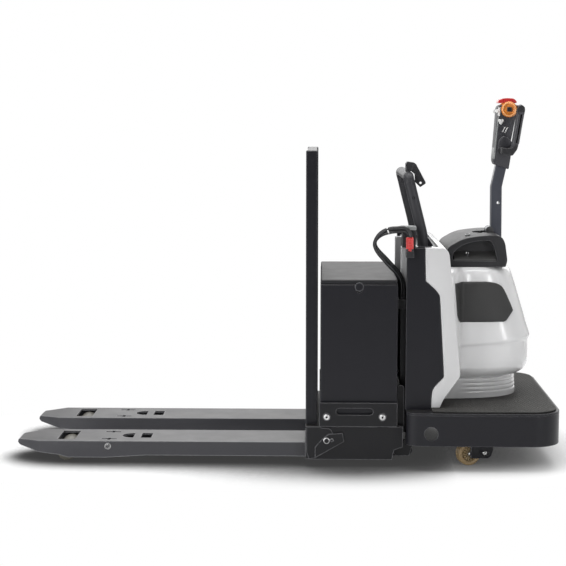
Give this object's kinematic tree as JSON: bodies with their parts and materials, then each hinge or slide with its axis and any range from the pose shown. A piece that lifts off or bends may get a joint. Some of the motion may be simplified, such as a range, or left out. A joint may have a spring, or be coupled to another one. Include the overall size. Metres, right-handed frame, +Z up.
{
  "type": "rider pallet jack",
  "caption": "Electric rider pallet jack with two forks, a lifting battery carriage with a load backrest, and a rear operator platform steered by a tiller.",
  "frame": {"origin": "on the floor, under the middle of the machine's length and width", "axes": "+X from the fork tips to the operator's platform, +Z up, +Y to the left of someone who looks along +X, the side away from the battery connector"},
  "size_m": [2.2643, 0.96, 1.519],
  "materials": {
    "chassis_frame": "satin black",
    "guide_rail_left": "bare",
    "guide_rail_right": "bare",
    "lift_cylinder": "satin black",
    "side_plate_left": "satin black",
    "side_plate_right": "satin black",
    "platform_skirt": "satin black",
    "platform_deck": "satin black",
    "platform_mat": "matt",
    "deck_lid": "satin black",
    "motor_cover": "satin white",
    "knee_pad_left": "textured",
    "knee_pad_right": "textured",
    "console": "textured",
    "charge_gauge": "white",
    "grab_bar": "satin black",
    "accessory_clamp": "textured",
    "connector_holder": "textured",
    "connector_socket": "textured",
    "connector_plug": "red",
    "battery_cable_positive": "matt",
    "battery_cable_negative": "matt",
    "hydraulic_unit": "satin black",
    "carriage_frame": "satin black",
    "fork_left": "satin dark grey",
    "fork_right": "satin dark grey",
    "backrest": "satin black",
    "heel_bracket_left": "satin black",
    "heel_bracket_right": "satin black",
    "side_gate_left": "satin black",
    "side_gate_right": "satin black",
    "battery_case": "satin black",
    "battery_lid": "satin black",
    "battery_gland": "textured",
    "lift_rod": "bare",
    "lift_link_left": "satin black",
    "pull_rod_left": "satin black",
    "wheel_yoke_left": "satin black",
    "load_wheel_left": "polyurethane",
    "caster_fork_left": "satin black",
    "caster_wheel_left": "polyurethane",
    "lift_link_right": "satin black",
    "pull_rod_right": "satin black",
    "wheel_yoke_right": "satin black",
    "load_wheel_right": "polyurethane",
    "caster_fork_right": "satin black",
    "caster_wheel_right": "polyurethane",
    "drive_unit": "satin black",
    "drive_motor": "satin black",
    "drive_wheel": "matt",
    "tiller_turret": "bare",
    "tiller_post": "satin black",
    "tiller_head": "textured",
    "throttle": "orange",
    "reverse_button": "red",
    "horn_button": "white",
    "lift_button": "white",
    "lower_button": "white",
    "key_switch": "bare"
  },
  "bodies": {
    "power_unit": {"chassis_frame": "chassis_frame", "guide_rail_left": "guide_rail_left", "guide_rail_right": "guide_rail_right", "lift_cylinder": "lift_cylinder", "side_plate_left": "side_plate_left", "side_plate_right": "side_plate_right", "platform_skirt": "platform_skirt", "platform_deck": "platform_deck", "platform_mat": "platform_mat", "deck_lid": "deck_lid", "motor_cover": "motor_cover", "knee_pad_left": "knee_pad_left", "knee_pad_right": "knee_pad_right", "console": "console", "charge_gauge": "charge_gauge", "grab_bar": "grab_bar", "accessory_clamp": "accessory_clamp", "connector_holder": "connector_holder", "connector_socket": "connector_socket", "connector_plug": "connector_plug", "battery_cable_positive": "battery_cable_positive", "battery_cable_negative": "battery_cable_negative", "hydraulic_unit": "hydraulic_unit"},
    "carriage": {"carriage_frame": "carriage_frame", "fork_left": "fork_left", "fork_right": "fork_right", "backrest": "backrest", "heel_bracket_left": "heel_bracket_left", "heel_bracket_right": "heel_bracket_right", "side_gate_left": "side_gate_left", "side_gate_right": "side_gate_right", "battery_case": "battery_case", "battery_lid": "battery_lid", "battery_gland": "battery_gland", "lift_rod": "lift_rod"},
    "link_left": {"lift_link_left": "lift_link_left"},
    "rod_left": {"pull_rod_left": "pull_rod_left"},
    "yoke_left": {"wheel_yoke_left": "wheel_yoke_left"},
    "load_wheel_left": {"load_wheel_left": "load_wheel_left"},
    "caster_left": {"caster_fork_left": "caster_fork_left"},
    "caster_wheel_left": {"caster_wheel_left": "caster_wheel_left"},
    "link_right": {"lift_link_right": "lift_link_right"},
    "rod_right": {"pull_rod_right": "pull_rod_right"},
    "yoke_right": {"wheel_yoke_right": "wheel_yoke_right"},
    "load_wheel_right": {"load_wheel_right": "load_wheel_right"},
    "caster_right": {"caster_fork_right": "caster_fork_right"},
    "caster_wheel_right": {"caster_wheel_right": "caster_wheel_right"},
    "drive": {"drive_unit": "drive_unit", "drive_motor": "drive_motor"},
    "drive_wheel": {"drive_wheel": "drive_wheel"},
    "turret": {"tiller_turret": "tiller_turret"},
    "tiller": {"tiller_post": "tiller_post", "tiller_head": "tiller_head"},
    "throttle": {"throttle": "throttle"},
    "reverse_button": {"reverse_button": "reverse_button"},
    "horn_button": {"horn_button": "horn_button"},
    "lift_button": {"lift_button": "lift_button"},
    "lower_button": {"lower_button": "lower_button"},
    "key": {"key_switch": "key_switch"}
  },
  "joints": [
    {"name": "lift", "type": "slide", "parent": "power_unit", "child": "carriage", "axis": [0, 0, 1], "range_m": [0, 0.12], "deforming": ["battery_cable_positive", "battery_cable_negative"]},
    {"name": "link_left_pivot", "type": "hinge", "parent": "carriage", "child": "link_left", "pos_m": [0.187, 0.233, 0.055], "axis": [0, 1, 0], "range_deg": [0, 22]},
    {"name": "rod_left_slide", "type": "slide", "parent": "carriage", "child": "rod_left", "axis": [1, 0, 0], "range_m": [0, 0.023]},
    {"name": "yoke_left_pivot", "type": "hinge", "parent": "carriage", "child": "yoke_left", "pos_m": [-0.741, 0.233, 0.0715], "axis": [0, -1, 0], "range_deg": [0, 46]},
    {"name": "load_wheel_left_spin", "type": "hinge", "parent": "yoke_left", "child": "load_wheel_left", "pos_m": [-0.921, 0.233, 0.041], "axis": [0, 1, 0], "continuous": true},
    {"name": "caster_left_swivel", "type": "hinge", "parent": "power_unit", "child": "caster_left", "pos_m": [0.807, 0.318, 0.19], "axis": [0, 0, 1], "continuous": true},
    {"name": "caster_wheel_left_spin", "type": "hinge", "parent": "caster_left", "child": "caster_wheel_left", "pos_m": [0.76377, 0.30227, 0.05], "axis": [-0.342, 0.9397, 0], "continuous": true},
    {"name": "link_right_pivot", "type": "hinge", "parent": "carriage", "child": "link_right", "pos_m": [0.187, -0.233, 0.055], "axis": [0, 1, 0], "range_deg": [0, 22]},
    {"name": "rod_right_slide", "type": "slide", "parent": "carriage", "child": "rod_right", "axis": [1, 0, 0], "range_m": [0, 0.023]},
    {"name": "yoke_right_pivot", "type": "hinge", "parent": "carriage", "child": "yoke_right", "pos_m": [-0.741, -0.233, 0.0715], "axis": [0, -1, 0], "range_deg": [0, 46]},
    {"name": "load_wheel_right_spin", "type": "hinge", "parent": "yoke_right", "child": "load_wheel_right", "pos_m": [-0.921, -0.233, 0.041], "axis": [0, 1, 0], "continuous": true},
    {"name": "caster_right_swivel", "type": "hinge", "parent": "power_unit", "child": "caster_right", "pos_m": [0.807, -0.318, 0.19], "axis": [0, 0, 1], "continuous": true},
    {"name": "caster_wheel_right_spin", "type": "hinge", "parent": "caster_right", "child": "caster_wheel_right", "pos_m": [0.76377, -0.33373, 0.05], "axis": [-0.342, 0.9397, 0], "continuous": true},
    {"name": "tiller_steer", "type": "hinge", "parent": "power_unit", "child": "turret", "pos_m": [0.887, 0, 0.872], "axis": [0, 0, 1], "range_deg": [-90, 90]},
    {"name": "drive_steer", "type": "hinge", "parent": "power_unit", "child": "drive", "pos_m": [0.787, 0, 0.245], "axis": [0, 0, 1], "range_deg": [-90, 90]},
    {"name": "drive_wheel_spin", "type": "hinge", "parent": "drive", "child": "drive_wheel", "pos_m": [0.787, 0, 0.115], "axis": [0, 1, 0], "continuous": true},
    {"name": "tiller_tilt", "type": "hinge", "parent": "turret", "child": "tiller", "pos_m": [0.873, 0, 0.955], "axis": [0, 1, 0], "range_deg": [0, 50], "stiffness_Nm_per_rad": 60, "springref_deg": -20.05},
    {"name": "throttle_turn", "type": "hinge", "parent": "tiller", "child": "throttle", "pos_m": [0.944, 0, 1.471], "axis": [0, 1, 0], "range_deg": [-25, 25], "stiffness_Nm_per_rad": 1},
    {"name": "reverse_button_press", "type": "slide", "parent": "tiller", "child": "reverse_button", "axis": [0, 0, -1], "range_m": [0, 0.005], "stiffness_N_per_m": 800, "springref_m": -0.004},
    {"name": "horn_button_press", "type": "slide", "parent": "tiller", "child": "horn_button", "axis": [0, 1, 0], "range_m": [0, 0.003], "stiffness_N_per_m": 400, "springref_m": -0.002},
    {"name": "lift_button_press", "type": "slide", "parent": "tiller", "child": "lift_button", "axis": [0, 1, 0], "range_m": [0, 0.003], "stiffness_N_per_m": 400, "springref_m": -0.002},
    {"name": "lower_button_press", "type": "slide", "parent": "tiller", "child": "lower_button", "axis": [0, -1, 0], "range_m": [0, 0.003], "stiffness_N_per_m": 400, "springref_m": -0.002},
    {"name": "key_turn", "type": "hinge", "parent": "power_unit", "child": "key", "pos_m": [0.764, -0.19, 0.868], "axis": [0, 1, 0], "range_deg": [0, 90]}
  ],
  "couplings": [
    {"joint": "link_left_pivot", "follows": "lift", "rad_per_m": 3.197},
    {"joint": "rod_left_slide", "follows": "lift", "ratio": 0.191},
    {"joint": "yoke_left_pivot", "follows": "lift", "rad_per_m": 6.676},
    {"joint": "link_right_pivot", "follows": "lift", "rad_per_m": 3.197},
    {"joint": "rod_right_slide", "follows": "lift", "ratio": 0.191},
    {"joint": "yoke_right_pivot", "follows": "lift", "rad_per_m": 6.676},
    {"joint": "drive_steer", "follows": "tiller_steer", "ratio": 1}
  ]
}
